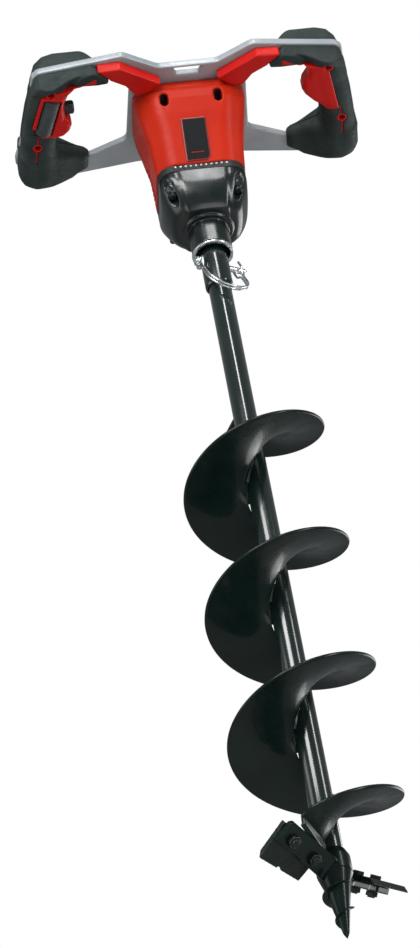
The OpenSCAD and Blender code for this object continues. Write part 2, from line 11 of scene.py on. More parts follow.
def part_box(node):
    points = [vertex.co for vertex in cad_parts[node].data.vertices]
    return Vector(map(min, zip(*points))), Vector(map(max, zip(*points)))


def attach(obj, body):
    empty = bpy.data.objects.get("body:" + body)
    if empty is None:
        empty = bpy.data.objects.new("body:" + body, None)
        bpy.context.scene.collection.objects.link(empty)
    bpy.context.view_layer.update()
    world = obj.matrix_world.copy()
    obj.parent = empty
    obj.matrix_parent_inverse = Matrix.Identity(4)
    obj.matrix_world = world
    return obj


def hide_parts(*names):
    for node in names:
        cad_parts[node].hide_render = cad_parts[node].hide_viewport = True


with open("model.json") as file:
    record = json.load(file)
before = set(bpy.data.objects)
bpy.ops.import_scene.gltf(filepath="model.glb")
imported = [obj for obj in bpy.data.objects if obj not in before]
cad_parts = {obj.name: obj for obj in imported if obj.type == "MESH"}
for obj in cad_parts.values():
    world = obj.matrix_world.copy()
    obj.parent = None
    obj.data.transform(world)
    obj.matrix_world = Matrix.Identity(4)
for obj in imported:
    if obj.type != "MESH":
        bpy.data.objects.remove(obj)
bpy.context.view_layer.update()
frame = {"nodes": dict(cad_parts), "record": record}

MM = 0.001
NODES = frame["nodes"]
scene = bpy.context.scene


def shift(x, y, z):
    return Matrix.Translation((x, y, z))


def turn(degrees, axis):
    return Matrix.Rotation(radians(degrees), 4, axis)


# ---- heights and sizes of the frame, millimetres ----
Z_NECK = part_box("neck_ring")[0].z / MM + 1.0          # mouth of the neck, 800
Z_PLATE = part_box("frame_plate")[0].z / MM             # underside of the plate, 988
Z_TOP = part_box("frame_plate")[1].z / MM
Z_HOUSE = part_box("collar_ring")[1].z / MM + 0.15      # underside of the housing, 889
Z_CASE = Z_NECK + 35
PIN_Z = (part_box("lock_pin")[0].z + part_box("lock_pin")[1].z) / 2 / MM
TUBE_R = 11.75
PIN_AZ = 27
CASE_SCREW = 34                                       # gear case screws, from the axis in x and in y
FLOOR_Z = -1.7                                        # metres

# ---------------------------------------------------------------- materials


def colour(r, g, b):
    """sRGB 0-255 to linear."""
    return tuple(((c / 255 + 0.055) / 1.055) ** 2.4 if c > 10 else c / 255 / 12.92 for c in (r, g, b)) + (1,)


class Finish:
    """A procedural material: mottled colour, uneven gloss and one or two layers of relief."""

    def __init__(self, name, base, rough, metallic=0.0, **more):
        self.mat = bpy.data.materials.new(name)
        self.mat.use_nodes = True
        self.nt = self.mat.node_tree
        self.shader = self.nt.nodes["Principled BSDF"]
        self.coord = self.nt.nodes.new("ShaderNodeTexCoord").outputs["Object"]
        self.normal = None
        self.shader.inputs["Base Color"].default_value = base
        self.shader.inputs["Roughness"].default_value = rough
        self.shader.inputs["Metallic"].default_value = metallic
        for key, value in more.items():
            self.shader.inputs[key.replace("_", " ")].default_value = value

    def node(self, kind, **props):
        n = self.nt.nodes.new(kind)
        for key, value in props.items():
            if key in n.inputs:
                n.inputs[key].default_value = value
            else:
                setattr(n, key, value)
        return n

    def link(self, a, b):
        self.nt.links.new(a, b)

    def noise(self, scale, detail=2.0, stretch=None, rough=0.5):
        n = self.node("ShaderNodeTexNoise", Scale=scale, Detail=detail, Roughness=rough)
        coord = self.coord
        if stretch:
            m = self.node("ShaderNodeMapping")
            m.inputs["Scale"].default_value = stretch
            self.link(coord, m.inputs["Vector"])
            coord = m.outputs["Vector"]
        self.link(coord, n.inputs["Vector"])
        return n.outputs["Fac"]

    def ramp(self, fac, low, high, a, b):
        r = self.node("ShaderNodeMapRange")
        for key, value in (("From Min", low), ("From Max", high), ("To Min", a), ("To Max", b)):
            r.inputs[key].default_value = value
        self.link(fac, r.inputs["Value"])
        return r.outputs["Result"]

    def gloss(self, fac, a, b, low=0.35, high=0.65):
        self.link(self.ramp(fac, low, high, a, b), self.shader.inputs["Roughness"])
        return self

    def mix(self, fac, a, b):
        """a or b may be a colour or a socket."""
        m = self.node("ShaderNodeMix", data_type="RGBA")
        self.link(fac, m.inputs["Factor"])
        for value, sock in ((a, m.inputs[6]), (b, m.inputs[7])):
            if isinstance(value, tuple):
                sock.default_value = value
            else:
                self.link(value, sock)
        return m.outputs[2]

    def paint(self, fac, a, b, low=0.35, high=0.65):
        out = self.mix(self.ramp(fac, low, high, 0, 1), a, b)
        self.link(out, self.shader.inputs["Base Color"])
        return out

    def relief(self, fac, strength, distance):
        b = self.node("ShaderNodeBump", Strength=strength, Distance=distance)
        self.link(fac, b.inputs["Height"])
        if self.normal:
            self.link(self.normal, b.inputs["Normal"])
        self.normal = b.outputs["Normal"]
        self.link(self.normal, self.shader.inputs["Normal"])
        return self

    def edges(self, low=0.52, high=0.6):
        """How worn a spot is: sharp convex edges, broken up by noise."""
        p = self.ramp(self.node("ShaderNodeNewGeometry").outputs["Pointiness"], low, high, 0, 1)
        m = self.node("ShaderNodeMath", operation="MULTIPLY")
        self.link(p, m.inputs[0])
        self.link(self.ramp(self.noise(400, 4), 0.42, 0.62, 0, 1), m.inputs[1])
        return m.outputs[0]


def finish(name, base, rough, metallic, mottle, gloss, grain, **more):
    """A painted or bare surface. mottle is noise and two colours, gloss is noise and two roughnesses,
    and each layer of grain is noise, strength and depth."""
    m = Finish(name, colour(*base), rough, metallic, **more)
    if mottle:
        spots, dark, light = mottle
        m.paint(m.noise(*spots), colour(*dark), colour(*light))
    if gloss:
        m.gloss(m.noise(*gloss[0]), *gloss[1:])
    for spots, strength, depth in grain:
        m.relief(m.noise(*spots), strength, depth)
    return name, m.mat


def make_finishes():
    made = [
        finish("drill_paint", (10, 26, 23), 0.3, 0, ((22, 3), (9, 25, 22), (15, 33, 29)),
               ((60, 4), 0.24, 0.38), [((420, 2), 0.10, 0.0006), ((9, 2), 0.12, 0.004)],
               Specular_IOR_Level=0.14, Coat_Weight=0.2, Coat_Roughness=0.1),
        finish("drill_gloss", (10, 26, 23), 0.22, 0, ((22, 3), (9, 25, 22), (15, 33, 29)),
               ((60, 4, (1, 1, 0.2)), 0.16, 0.28),
               [((420, 2), 0.06, 0.0004), ((12, 2, (1, 1, 0.3)), 0.10, 0.003)],
               Specular_IOR_Level=0.5, Coat_Weight=0.7, Coat_Roughness=0.08),
        finish("zinc", (214, 219, 222), 0.28, 0.95, ((180, 3), (198, 204, 208), (228, 231, 233)),
               ((500, 3), 0.2, 0.34), [((900, 2), 0.10, 0.0003)]),
        finish("dark_fastener", (38, 42, 43), 0.4, 0.7, ((300, 3), (28, 32, 33), (58, 62, 63)),
               None, [((1200, 2), 0.12, 0.0002)]),
        finish("gear_steel", (150, 156, 160), 0.3, 1.0, ((120, 3), (120, 126, 130), (168, 173, 176)),
               ((300, 3), 0.22, 0.42), [((1500, 2, (1, 1, 0.08)), 0.10, 0.0002)]),
        finish("case_black", (10, 20, 19), 0.27, 0, ((40, 3), (9, 19, 18), (14, 26, 25)),
               ((60, 3), 0.24, 0.32), [((900, 2), 0.03, 0.0002)],
               Specular_IOR_Level=0.5, Coat_Weight=0.3, Coat_Roughness=0.16),
        finish("collar_black", (18, 22, 22), 0.6, 0, None,
               ((300, 3), 0.5, 0.72), [((1500, 2), 0.2, 0.0003)]),
        finish("housing_red", (186, 38, 14), 0.42, 0, ((14, 3), (180, 34, 11), (192, 42, 16)),
               ((200, 3), 0.34, 0.46), [((1600, 2), 0.16, 0.0003)], Specular_IOR_Level=0.16),
        finish("core_red", (196, 22, 18), 0.38, 0, ((16, 3), (190, 18, 15), (202, 27, 19)),
               ((220, 3), 0.3, 0.42), [((1500, 2), 0.14, 0.0003)], Specular_IOR_Level=0.2),
        finish("grip_rubber", (40, 50, 49), 0.7, 0, ((35, 4), (33, 43, 42), (48, 58, 56)),
               ((260, 3), 0.6, 0.78), [((1100, 3), 0.42, 0.0005)], Specular_IOR_Level=0.25),
        finish("plate_alu", (196, 200, 204), 0.36, 0.2, ((26, 3), (150, 158, 162), (166, 173, 177)),
               ((240, 3), 0.3, 0.44), [((1300, 3), 0.14, 0.0003)]),
        finish("label_black", (14, 15, 16), 0.22, 0, ((120, 3), (12, 13, 14), (18, 19, 20)),
               None, [((600, 2), 0.04, 0.0002)], Coat_Weight=0.5, Coat_Roughness=0.08),
        finish("board_green", (34, 92, 52), 0.35, 0, ((500, 3), (28, 80, 44), (44, 108, 62)),
               None, [((800, 3), 0.2, 0.0003)]),
        finish("winding", (128, 96, 66), 0.45, 0.6, ((420, 3, (1, 1, 0.1)), (110, 80, 54), (150, 112, 76)),
               None, [((900, 2, (1, 1, 0.05)), 0.5, 0.0005)]),
        finish("seal_rubber", (24, 24, 24), 0.75, 0, ((60, 3), (20, 20, 20), (32, 32, 32)),
               None, [((1200, 3), 0.3, 0.0003)]),
        finish("trigger_grey", (60, 67, 68), 0.55, 0, ((60, 3), (54, 61, 62), (70, 77, 78)),
               ((300, 3), 0.46, 0.62), [((1100, 3), 0.3, 0.0004)], Specular_IOR_Level=0.4),
        finish("dock_black", (26, 30, 31), 0.5, 0, ((40, 3), (22, 26, 27), (34, 38, 39)),
               ((260, 3), 0.42, 0.58), [((1300, 2), 0.22, 0.0003)]),
        finish("brass", (196, 158, 78), 0.28, 1.0, ((300, 3), (180, 142, 66), (210, 174, 96)),
               None, [((900, 2), 0.1, 0.0002)]),
    ]
    steel = Finish("blade_steel", colour(16, 29, 27), 0.42, 0.25)
    spots = steel.ramp(steel.noise(90, 4), 0.35, 0.65, 0, 1)
    mottled = steel.mix(spots, colour(11, 23, 21), colour(22, 34, 32))
    bare = colour(150, 152, 150)
    steel.link(steel.mix(steel.edges(0.53, 0.62), mottled, bare), steel.shader.inputs["Base Color"])
    steel.gloss(steel.noise(260, 4), 0.3, 0.55)
    steel.relief(steel.noise(700, 4), 0.18, 0.0005)
    return dict(made + [("blade_steel", steel.mat)])


FIN = make_finishes()

# ---------------------------------------------------------------- mesh tools


def placed(points, frame_of):
    m = np.array(frame_of)
    return points @ m[:3, :3].T + m[:3, 3]


def add_object(name, data):
    ob = bpy.data.objects.new(name, data)
    scene.collection.objects.link(ob)
    return ob


def piece(name, verts, faces, slot, body, *nodes, sharp=None, place=None, finish=None):
    """A mesh piece from points in millimetres, riding on a CAD body."""
    v = np.asarray(verts, dtype=float)
    if place is not None:
        v = placed(v, place)
    me = bpy.data.meshes.new(name)
    me.from_pydata((v * MM).tolist(), [], faces if isinstance(faces, list) else faces.tolist())
    me.update()
    me.polygons.foreach_set("use_smooth", np.ones(len(me.polygons), dtype=bool))
    if sharp is not None:
        me.set_sharp_from_angle(angle=radians(sharp))
    ob = add_object(name, me)
    me.materials.append(FIN[finish or slot])
    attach(ob, body)
    if nodes:
        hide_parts(*nodes)
    return ob


def fillet(pts, r, n=5, closed=True):
    """Rounds the corners of a 2-D outline; r is one radius or one per point."""
    out, count = [], len(pts)
    for i, p in enumerate(pts):
        ri = r[i] if isinstance(r, (list, tuple)) else r
        if ri <= 0 or (not closed and i in (0, count - 1)):
            out.append(tuple(p))
            continue
        a, b, c = (np.array(pts[k % count], float) for k in (i - 1, i, i + 1))
        la, lc = np.linalg.norm(a - b), np.linalg.norm(c - b)
        u, v = (a - b) / la, (c - b) / lc
        half = acos(max(-1, min(1, float(u @ v)))) / 2
        if half > 1.53:
            out.append(tuple(p))
            continue
        t = min(ri / tan(half), 0.48 * la, 0.48 * lc)
        w = (u + v) / np.linalg.norm(u + v)
        centre = b + w * (t / cos(half))
        s, e = b + u * t - centre, b + v * t - centre
        rad = np.linalg.norm(s)
        arc = acos(max(-1, min(1, float(s @ e) / rad / rad)))
        for k in range(n + 1):
            q = k / n
            d = (s * sin((1 - q) * arc) + e * sin(q * arc)) / sin(arc)
            out.append(tuple(centre + d))
    return out


def lists_of(bm):
    """Points and faces of a bmesh with its normals outwards; the bmesh is freed."""
    bmesh.ops.recalc_face_normals(bm, faces=bm.faces)
    bm.verts.index_update()
    verts = [tuple(v.co) for v in bm.verts]
    faces = [[v.index for v in face.verts] for face in bm.faces]
    bm.free()
    return verts, faces


def lathe(name, profile, slot, body, *nodes, n=72, r=0.6, place=None, sharp=None, finish=None):
    """Turns a closed or axis-to-axis profile of (radius, height) round z, edges rounded by r."""
    on_axis = profile[0][0] < 1e-6
    prof = fillet(profile, r, 3, closed=not on_axis)
    bm = bmesh.new()
    rings = []
    for rad, z in prof:
        if rad < 1e-6:
            rings.append([bm.verts.new((0, 0, z))] * n)
        else:
            rings.append([bm.verts.new((rad * cos(a), rad * sin(a), z))
                          for a in (2 * pi * k / n for k in range(n))])
    pairs = list(zip(rings, rings[1:])) + ([] if on_axis else [(rings[-1], rings[0])])
    for a, b in pairs:
        for k in range(n):
            quad = []
            for vtx in (a[k], a[(k + 1) % n], b[(k + 1) % n], b[k]):
                if vtx not in quad:
                    quad.append(vtx)
            if len(quad) > 2:
                bm.faces.new(quad)
    return piece(name, *lists_of(bm), slot, body, *nodes, place=place, sharp=sharp, finish=finish)


def band(base, rows, count):
    """Quads between rows of points that each run once round a section."""
    faces = []
    for i in range(rows - 1):
        for k in range(count):
            a, b = base + i * count + k, base + i * count + (k + 1) % count
            faces.append([a, b, b + count, a + count])
    return faces


def tube(paths, rad, sides=14):
    """Verts and faces of round wires along paths; ends are closed by domes."""
    verts, faces = [], []
    for path in paths:
        p = np.array(path, float)
        d = np.gradient(p, axis=0)
        d /= np.linalg.norm(d, axis=1)[:, None]
        rads = [rad] * len(p)
        caps = [(p[0] - d[0] * rad * k, rad * sqrt(1 - k * k)) for k in (0.98, 0.8, 0.45)]
        tail = [(p[-1] + d[-1] * rad * k, rad * sqrt(1 - k * k)) for k in (0.45, 0.8, 0.98)]
        p = np.array([c[0] for c in caps] + list(p) + [c[0] for c in tail])
        rads = [c[1] for c in caps] + rads + [c[1] for c in tail]
        d = np.array([d[0]] * 3 + list(d) + [d[-1]] * 3)
        up = np.cross(d[0], (0.3, 0.5, 0.8))
        base = len(verts)
        for q, e, rr in zip(p, d, rads):
            up = up - e * (up @ e)
            up /= np.linalg.norm(up)
            side = np.cross(e, up)
            for k in range(sides):
                a = 2 * pi * k / sides
                verts.append(q + rr * (cos(a) * up + sin(a) * side))
        rows = len(p)
        faces += band(base, rows, sides)
        faces.append([base + k for k in reversed(range(sides))])
        faces.append([base + (rows - 1) * sides + k for k in range(sides)])
    return verts, faces


def slab_with_holes(name, outer, holes, z0, z1, bevel, slot, body, *nodes):
    """A flat plate with rounded edges, from outlines in millimetres."""
    cu = bpy.data.curves.new(name, "CURVE")
    cu.dimensions = "2D"
    cu.fill_mode = "BOTH"
    for ring in [outer] + holes:
        sp = cu.splines.new("POLY")
        sp.points.add(len(ring) - 1)
        for pt, (x, y) in zip(sp.points, ring):
            pt.co = (x * MM, y * MM, 0, 1)
        sp.use_cyclic_u = True
    cu.extrude = ((z1 - z0) / 2 - bevel) * MM
    cu.bevel_depth = bevel * MM
    cu.bevel_resolution = 3
    cu.offset = -bevel * MM
    tmp = add_object(name + "_c", cu)
    me = bpy.data.meshes.new_from_object(tmp.evaluated_get(bpy.context.evaluated_depsgraph_get()))
    bpy.data.objects.remove(tmp)
    bm = bmesh.new()
    bm.from_mesh(me)
    bmesh.ops.remove_doubles(bm, verts=bm.verts, dist=1e-6)
    verts, faces = lists_of(bm)
    bpy.data.meshes.remove(me)
    verts = [(x / MM, y / MM, z / MM + (z0 + z1) / 2) for x, y, z in verts]
    return piece(name, verts, faces, slot, body, *nodes, sharp=28)


# ---- shapes as distance fields, in millimetres; negative is inside ----
def smin(a, b, k):
    h = np.clip(0.5 + 0.5 * (b - a) / k, 0, 1)
    return b + (a - b) * h - k * h * (1 - h)


def smax(a, b, k):
    return -smin(-a, -b, k)


def cut(d, tool, r=0):
    """Takes the tool's form away, with its edges rounded by r."""
    return smax(d, -tool, r) if r else maximum(d, -tool)


def poly(x, y, pts):
    """Signed distance to a closed 2-D outline."""
    d = np.full(x.shape, 1e12)
    s = np.ones(x.shape)
    for i in range(len(pts)):
        (ax, ay), (bx, by) = pts[i], pts[i - 1]
        ex, ey = bx - ax, by - ay
        wx, wy = x - ax, y - ay
        t = np.clip((wx * ex + wy * ey) / (ex * ex + ey * ey), 0, 1)
        d = minimum(d, (wx - ex * t) ** 2 + (wy - ey * t) ** 2)
        c1, c2, c3 = y >= ay, y < by, ex * wy > ey * wx
        s = np.where((c1 & c2 & c3) | ~(c1 | c2 | c3), -s, s)
    return s * np.sqrt(d)


def outline(x, y, pts):
    """The same, for a shape that is one outline at every height of a 3-D grid."""
    return poly(x[:, :, :1], y[:, :, :1], pts)


def chain(x, y, pts):
    """Distance to an open 2-D line of points."""
    d = np.full(x.shape, 1e12)
    for (ax, ay), (bx, by) in zip(pts, pts[1:]):
        ex, ey = bx - ax, by - ay
        t = np.clip(((x - ax) * ex + (y - ay) * ey) / (ex * ex + ey * ey), 0, 1)
        d = minimum(d, (x - ax - ex * t) ** 2 + (y - ay - ey * t) ** 2)
    return np.sqrt(d)


def both(a, b, r):
    """Meets two distances with an edge rounded by r."""
    a, b = a + r, b + r
    return minimum(maximum(a, b), 0) + hypot(maximum(a, 0), maximum(b, 0)) - r


def rect(x, y, cx, cy, hx, hy, r):
    return both(abs(x - cx) - hx, abs(y - cy) - hy, r)


def slab(x, y, z, pts, mid, half, r):
    """An outline given thickness, with its edges rounded by r."""
    return both(outline(x, y, pts), abs(z - mid) - half, r)


def bar(x, y, z, a, b, r0, r1=None):
    """A round bar from a to b."""
    a, b = np.array(a, float), np.array(b, float)
    e = b - a
    t = np.clip(((x - a[0]) * e[0] + (y - a[1]) * e[1] + (z - a[2]) * e[2]) / (e @ e), 0, 1)
    d = np.sqrt((x - a[0] - e[0] * t) ** 2 + (y - a[1] - e[1] * t) ** 2 + (z - a[2] - e[2] * t) ** 2)
    return d - (r0 + ((r1 if r1 is not None else r0) - r0) * t)


def skin(field, lo, hi, h):
    """Quads over the zero surface of a field, sampled every h millimetres."""
    axes = [np.arange(a, b + h, h) for a, b in zip(lo, hi)]
    x, y, z = np.meshgrid(*axes, indexing="ij")
    d = np.broadcast_to(field(x, y, z), x.shape).copy()
    for ax in range(3):
        edge = [slice(None)] * 3
        for end in (0, -1):
            edge[ax] = end
            d[tuple(edge)] = maximum(d[tuple(edge)], 0.3 * h)
    ins = d < 0
    n = tuple(s - 1 for s in d.shape)
    total = np.zeros(n)
    acc = np.zeros(n + (3,))
    corner = [(i, j, k) for i in (0, 1) for j in (0, 1) for k in (0, 1)]

    def at_corner(arr, c):
        return arr[c[0]:c[0] + n[0], c[1]:c[1] + n[1], c[2]:c[2] + n[2]]

    for c in corner:
        for ax in range(3):
            if c[ax]:
                continue
            e = tuple(v + (1 if q == ax else 0) for q, v in enumerate(c))
            a, b = at_corner(d, c), at_corner(d, e)
            cross = at_corner(ins, c) != at_corner(ins, e)
            t = np.where(cross, a / np.where(cross, a - b, 1), 0)
            total += cross
            for q in range(3):
                acc[..., q] += cross * ((t if q == ax else 0) + c[q])
    live = total > 0
    index = np.full(n, -1)
    index[live] = np.arange(live.sum())
    where = np.argwhere(live)
    verts = (where + acc[live] / total[live][:, None]) * h + np.array([a[0] for a in axes])
    quads = []
    for ax in range(3):
        p, q = [v for v in range(3) if v != ax]
        lo_s, hi_s = [slice(None)] * 3, [slice(None)] * 3
        lo_s[ax], hi_s[ax] = slice(0, -1), slice(1, None)
        change = ins[tuple(lo_s)] != ins[tuple(hi_s)]
        spot = np.argwhere(change)
        for side in (p, q):
            spot = spot[(spot[:, side] > 0) & (spot[:, side] < d.shape[side] - 1)]
        out = ins[tuple(spot.T)]
        ring = []
        for dp, dq in ((1, 1), (0, 1), (0, 0), (1, 0)):
            s = spot.copy()
            s[:, p] -= dp
            s[:, q] -= dq
            ring.append(index[tuple(s.T)])
        f = np.stack(ring, 1)
        flip = out if ax == 1 else ~out
        f[flip] = f[flip][:, ::-1]
        quads.append(f)
    faces = np.concatenate(quads)
    # settle each point on the surface by one step along the field's slope
    grad = np.stack(np.gradient(d, h), -1)
    cell = np.clip(((verts - [a[0] for a in axes]) / h), 0, np.array(d.shape) - 1.001)
    i0 = cell.astype(int)
    fr = cell - i0
    val, g = np.zeros(len(verts)), np.zeros((len(verts), 3))
    for c in corner:
        w = np.prod([fr[:, q] if c[q] else 1 - fr[:, q] for q in range(3)], axis=0)
        at = tuple((i0 + c).T)
        val += w * d[at]
        g += w[:, None] * grad[at]
    g2 = maximum((g * g).sum(1), 0.2)
    step = g * (val / g2)[:, None]
    verts = verts - np.clip(step, -0.4 * h, 0.4 * h)
    return verts, faces


def field_piece(name, field, lo, hi, h, slot, body, *nodes, place=None, mirror=False, finish=None):
    v, f = skin(field, lo, hi, h)
    if mirror:
        v = v * (-1, 1, 1)
        f = f[:, ::-1]
    return piece(name, v, f, slot, body, *nodes, place=place, finish=finish)


# ---------------------------------------------------------------- the drill
# the flight: its first angle and height, lead, turns, thickness, inner and outer radius
A0, Z0, PITCH, TURNS, THICK, R_IN, R_OUT = 246.0, 88.0, 141.12, 3.62, 3.6, 13.35, 75.0


def make_flight():
    radii = [R_IN + 0.6] + list(np.linspace(R_IN + 6, R_OUT - 6, 7)) + [R_OUT - 2.2]
    rim = [(R_OUT - 1.1 + 1.1 * cos(a), THICK / 2 + (THICK / 2) * sin(a))
           for a in np.radians([-90, -60, -30, 0, 30, 60, 90])]
    hub = [(R_IN + 0.6 - 0.6 * cos(a), THICK / 2 + (THICK / 2) * sin(a))
           for a in np.radians([60, 0, -60])]
    section = [(r, 0.0) for r in radii] + rim + [(r, THICK) for r in reversed(radii)] + hub
    steps = 480
    verts, m = [], len(section)
    ends = 10
    for i in range(steps + 1):
        u = i / steps
        # both ends are cut with rounded corners
        near = min(i, steps - i)
        trim = 0 if near > ends else 7 * (1 - sqrt(1 - (1 - near / ends) ** 2))
        a = radians(A0 + 360 * TURNS * u)
        for r, w in section:
            rr = r if r < R_OUT - 8 else R_OUT - 8 + (r - R_OUT + 8) * (1 - trim / 9)
            verts.append((rr * cos(a), rr * sin(a), Z0 + PITCH * TURNS * u + w))
    faces = band(0, steps + 1, m)
    for base, flip in ((0, True), (steps * m, False)):
        top = list(range(base, base + m))
        for k in range(m // 2 - 1):
            quad = [top[k], top[k + 1], top[(m - 5 - k) % m], top[(m - 4 - k) % m]]
            if len(set(quad)) == 4:
                faces.append(quad[::-1] if flip else quad)
    piece("flight_screw", verts, faces, "drill_paint", "auger", "flighting", sharp=50)


def make_welds():
    """Rippled beads along the inner edge of the flight, where it touches the tube."""
    verts, faces, sides = [], [], 12
    rng = np.random.default_rng(7)
    for k in range(11):
        u0 = 0.15 + k * 0.335
        count, base = 22, len(verts)
        wob = rng.normal(0, 0.12, (count, sides))
        for i in range(count):
            q = i / (count - 1) * 2 - 1
            ang = radians(A0 + 360 * u0 + q * 24)
            z = Z0 + PITCH * (u0 + q * 24 / 360) + THICK / 2
            size = max(0.05, sqrt(max(0, 1 - q ** 4))) * (1 + 0.10 * cos(i * 2.4))
            for s in range(sides):
                b = 2 * pi * s / sides
                rr = TUBE_R + 0.9 + (1.9 + wob[i, s]) * size * cos(b)
                up = (3.6 + wob[i, s]) * size * sin(b)
                verts.append((rr * cos(ang), rr * sin(ang), z + up))
        faces += band(base, count, sides)
        faces.append([base + s for s in reversed(range(sides))])
        faces.append([base + (count - 1) * sides + s for s in range(sides)])
    piece("flight_weld_beads", verts, faces, "drill_paint", "auger", "flight_welds")


BLADE_Z, BLADE_AZ, BLADE_RISE, BLADE_SLOPE = 64.5, 233.7, 12.3, 35
BOLTS, BOLT_Y = (35, 66), -2                           # bolt places along and across a holder


def on_holder(side):
    """Frame of a cutter's seat: x outwards along the holder, z square to it; side 1 is half a turn round."""
    out = shift(0, 0, BLADE_Z) @ turn(BLADE_AZ + 180 * side, "Z")
    return out @ turn(-BLADE_RISE, "Y") @ turn(BLADE_SLOPE, "X")


def make_cutters():
    plan = [[4, -11], [44, -11], [46, -10], [58, -10], [60, -11], [80, -11], [80, 8], [77, 11], [4, 11]]
    edge = [[27, -25.5], [51, -28.7], [52.5, -26.6], [55, -27], [56, -29.4], [78, -32.3], [81.5, 6], [27, 6]]

    def drilled(d, x, y):
        for bx in BOLTS:
            d = maximum(d, 3.55 - hypot(x - bx, y - BOLT_Y))
        return d

    def holder(x, y, z):
        d = drilled(slab(x, y, z, plan, -3, 3, 0.7), x, y)
        # weld fillet towards the hub
        return smin(d, bar(x, y, z, (13, -8, -3), (17, 8, -3), 3.6), 2.5)

    def blade(x, y, z):
        d = slab(x, y, z, edge, 2.55, 2.5, 0.35)
        grind = (1.19 * z - (y + 25.5 + 0.1335 * (x - 27))) * 0.62     # ground slope above the cutting edge
        return drilled(smax(d, grind, 0.3), x, y)

    for side, word in ((0, "left"), (1, "right")):
        m = on_holder(side)
        field_piece("blade_holder_" + word + "_plate", holder, (0, -14, -9.5), (83, 14, 3), 0.8,
                    "drill_paint", "auger", "blade_holder_" + word, place=m)
        field_piece("cutter_" + word, blade, (24, -35, -1), (84, 8, 7), 0.6,
                    "blade_steel", "auger", "cutter_blade_" + word, place=m)


def make_web():
    """Upright plate that joins the left holder to the lowest edge of the flighting."""
    m = turn(247.5, "Z") @ turn(90, "X")
    plan = [(15, 73.5), (70, 81), (70, 88.4), (15, 88.4)]

    def web(x, y, z):
        d = slab(x, y, z, plan, 0, 2, 0.8)
        for k in range(9):                         # beads of the weld along its foot
            ends = [(bx, 74.6 + 0.136 * (bx - 15), 2) for bx in (20 + 5.6 * k, 24 + 5.6 * k)]
            d = smin(d, bar(x, y, z, *ends, 1.3), 0.8)
        return d

    field_piece("flight_web", web, (12, 70, -5), (73, 91, 6), 0.7, "drill_paint", "auger", place=m)


def hexagon(x, y, flats):
    turns = np.radians([0, 60, 120])
    return maximum.reduce([abs(x * cos(a) + y * sin(a)) for a in turns]) - flats


def make_bolts():
    def bolt(x, y, z):
        r = hypot(x, y)
        head = both(hexagon(x, y, 5.0), abs(z - 6.85) - 1.8, 0.4)
        head = smax(head, (r - 5.9) + (z - 8.3) * 0.9, 0.4)
        shank = both(r - 3.5 - 0.14 * np.sin(z * 5.5) * (z < -6), abs(z + 3.4) - 8.5, 0.5)
        return minimum(head, shank)

    def nut(x, y, z):
        d = both(hexagon(x, y, 5.35), abs(z + 8.35) - 2.25, 0.4)
        d = smax(d, hypot(x, y) - 6.25 + abs(z + 8.35) - 1.9, 0.4)
        return maximum(d, 3.6 - hypot(x, y))

    for what, field, low, high in (("bolt", bolt, -13, 10), ("nut", nut, -12, -5)):
        v, f = skin(field, (-7, -7, low), (7, 7, high), 0.45)
        allv, allf = [], []
        for side in (0, 1):
            for bx in BOLTS:
                allf.append(f + len(v) * len(allv))
                allv.append(placed(v, on_holder(side) @ shift(bx, BOLT_Y, 0)))
        piece("cutter_%ss_set" % what, np.concatenate(allv), np.concatenate(allf), "blade_steel", "auger",
              "cutter_%ss" % what)


def make_point():
    def point(x, y, z):
        r = hypot(x, y)
        cone = (r - level(z, [(0, 0), (6, 3.0), (50, 11.8), (64, 16.3)])) * 0.95
        # four flats forged at the very tip
        flats = (maximum(abs(x * 0.8 + y * 0.6), abs(x * 0.6 - y * 0.8)) - 0.5 * z - 0.3) * 0.85
        return smax(both(cone, abs(z - 32) - 32, 0.6), flats, 0.6)

    field_piece("centre_point", point, (-19, -19, -1), (19, 19, 66), 0.7, "drill_paint", "auger",
                "screw_point")
    verts, steps = [], 150
    for i in range(steps + 1):
        u = i / steps
        a = radians(720 * u)
        z, ri, ro = 5 + 49 * u, 1.8 + 8.5 * u, 4.2 + 14.6 * u
        grow = min(1, 0.25 + 5 * u, 0.25 + 5 * (1 - u))
        ro = ri + (ro - ri) * grow
        for r, w in ((ri, 0), (ro - 0.9, 0.25), (ro - 0.2, 0.5), (ro, 0.8), (ro - 0.2, 1.1), (ro - 0.9, 1.35),
                     (ri, 1.6)):
            verts.append((r * cos(a), r * sin(a), z + w))
    faces = band(0, steps + 1, 7)
    faces.append([6, 5, 4, 3, 2, 1, 0])
    faces.append([steps * 7 + k for k in range(7)])
    piece("centre_screw_spiral", verts, faces, "drill_paint", "auger", "screw_spiral", sharp=60)


